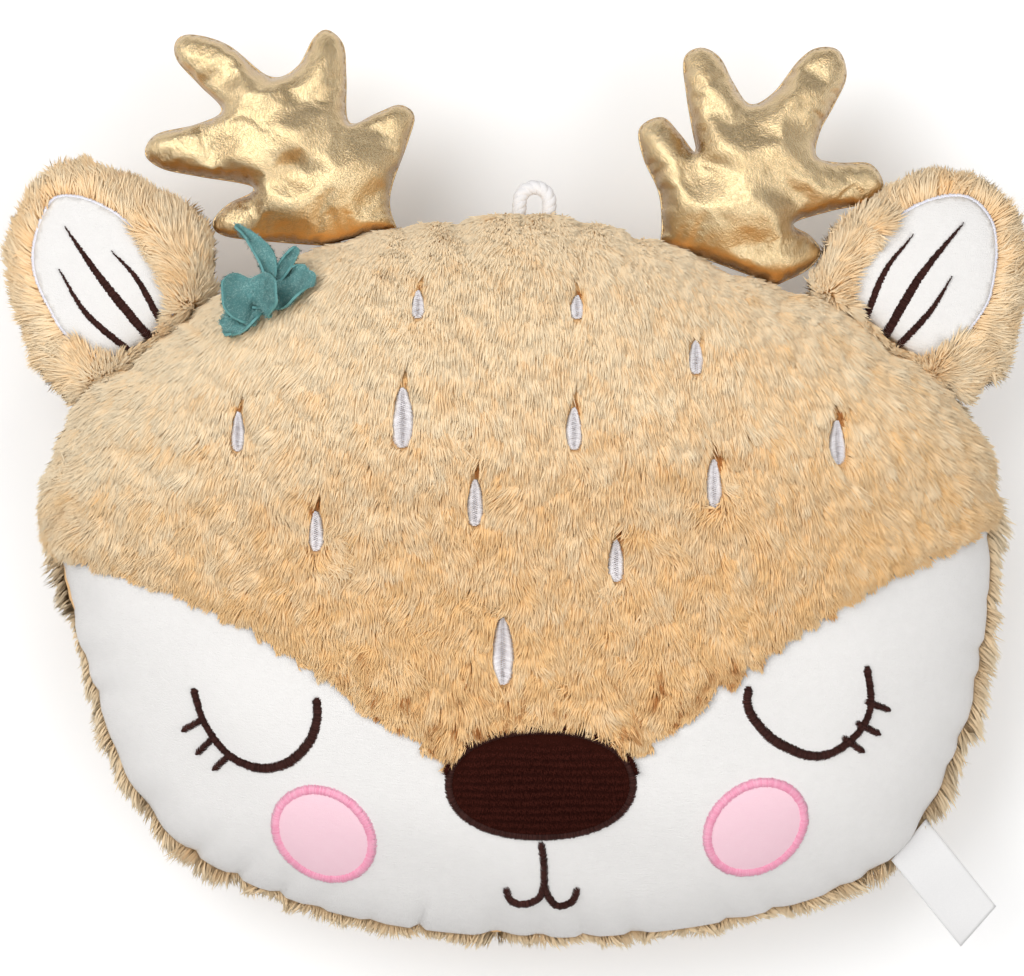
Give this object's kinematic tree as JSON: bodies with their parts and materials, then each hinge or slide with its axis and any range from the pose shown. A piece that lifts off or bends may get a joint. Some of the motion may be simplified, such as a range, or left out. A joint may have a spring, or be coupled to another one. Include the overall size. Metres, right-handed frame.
{
  "type": "plush deer head cushion",
  "caption": "Stuffed deer-head cushion lying on its back: furry brow and back, velour face, padded ears and golden antlers that bend at their seams, hanging loop and bare label.",
  "frame": {"origin": "middle of the flat patch on the back panel that the cushion rests on", "axes": "+X to the right of someone who looks at the face, +Y to the top of the head between the antlers, +Z out of the face"},
  "size_m": [0.3657, 0.3445, 0.1228],
  "materials": {
    "tan_fur": "soft long pile",
    "white_velour": "short pile velour",
    "stuffing": "polyester wadding",
    "dark_brown_velour": "ribbed short pile",
    "dark_brown_stitching": "satin stitch",
    "pink_velour": "short pile velour",
    "pink_stitching": "satin stitch",
    "silver_lilac_satin": "satin stitch",
    "gold_lame": "metallic lame",
    "teal_fleece": "fleece felt",
    "white_cord": "twisted cotton",
    "white_satin_ribbon": "satin ribbon"
  },
  "bodies": {
    "head": {"head_stuffing": "stuffing", "back_panel": "tan_fur", "forehead_panel": "tan_fur", "face_panel": "white_velour", "nose_patch": "dark_brown_velour", "nose_border": "dark_brown_stitching", "left_cheek_patch": "pink_velour", "left_cheek_border": "pink_stitching", "right_cheek_patch": "pink_velour", "right_cheek_border": "pink_stitching", "left_eye_stitching": "dark_brown_stitching", "right_eye_stitching": "dark_brown_stitching", "mouth_stitching": "dark_brown_stitching", "spot_01": "silver_lilac_satin", "spot_02": "silver_lilac_satin", "spot_03": "silver_lilac_satin", "spot_04": "silver_lilac_satin", "spot_05": "silver_lilac_satin", "spot_06": "silver_lilac_satin", "spot_07": "silver_lilac_satin", "spot_08": "silver_lilac_satin", "spot_09": "silver_lilac_satin", "spot_10": "silver_lilac_satin", "spot_11": "silver_lilac_satin", "spot_12": "silver_lilac_satin", "flower": "teal_fleece", "flower_knot": "teal_fleece"},
    "left_ear": {"left_ear_padding": "stuffing", "left_ear_front": "tan_fur", "left_ear_back": "tan_fur", "left_ear_lining": "white_velour", "left_ear_piping": "silver_lilac_satin", "left_ear_left_stripe": "dark_brown_stitching", "left_ear_middle_stripe": "dark_brown_stitching", "left_ear_right_stripe": "dark_brown_stitching"},
    "right_ear": {"right_ear_padding": "stuffing", "right_ear_front": "tan_fur", "right_ear_back": "tan_fur", "right_ear_lining": "white_velour", "right_ear_piping": "silver_lilac_satin", "right_ear_left_stripe": "dark_brown_stitching", "right_ear_middle_stripe": "dark_brown_stitching", "right_ear_right_stripe": "dark_brown_stitching"},
    "left_antler": {"left_antler_filling": "stuffing", "left_antler_front": "gold_lame", "left_antler_back": "gold_lame"},
    "right_antler": {"right_antler_filling": "stuffing", "right_antler_front": "gold_lame", "right_antler_back": "gold_lame"},
    "hanging_loop": {"hanging_loop": "white_cord"},
    "label": {"label": "white_satin_ribbon"}
  },
  "joints": [
    {"name": "left_ear_bend", "type": "hinge", "parent": "head", "child": "left_ear", "pos_m": [-0.13837, 0.08502, 0.05665], "axis": [0.7784, 0.6278, 0], "range_deg": [-30, 35], "stiffness_Nm_per_rad": 0.08},
    {"name": "right_ear_bend", "type": "hinge", "parent": "head", "child": "right_ear", "pos_m": [0.13642, 0.0865, 0.05665], "axis": [0.8051, -0.5931, 0], "range_deg": [-30, 35], "stiffness_Nm_per_rad": 0.08},
    {"name": "left_antler_bend", "type": "hinge", "parent": "head", "child": "left_antler", "pos_m": [-0.05902, 0.12596, 0.05665], "axis": [0.9696, 0.2448, 0], "range_deg": [-25, 25], "stiffness_Nm_per_rad": 0.15},
    {"name": "right_antler_bend", "type": "hinge", "parent": "head", "child": "right_antler", "pos_m": [0.07322, 0.11584, 0.05665], "axis": [0.9377, -0.3474, 0], "range_deg": [-25, 25], "stiffness_Nm_per_rad": 0.15},
    {"name": "hanging_loop_flop", "type": "hinge", "parent": "head", "child": "hanging_loop", "pos_m": [0.00515, 0.13429, 0.05665], "axis": [0.999, -0.0438, 0], "range_deg": [-35, 35], "stiffness_Nm_per_rad": 0.001},
    {"name": "label_flap", "type": "hinge", "parent": "head", "child": "label", "pos_m": [0.14429, -0.09721, 0.05665], "axis": [-0.6559, -0.7548, 0], "range_deg": [-30, 50], "stiffness_Nm_per_rad": 0.001}
  ]
}
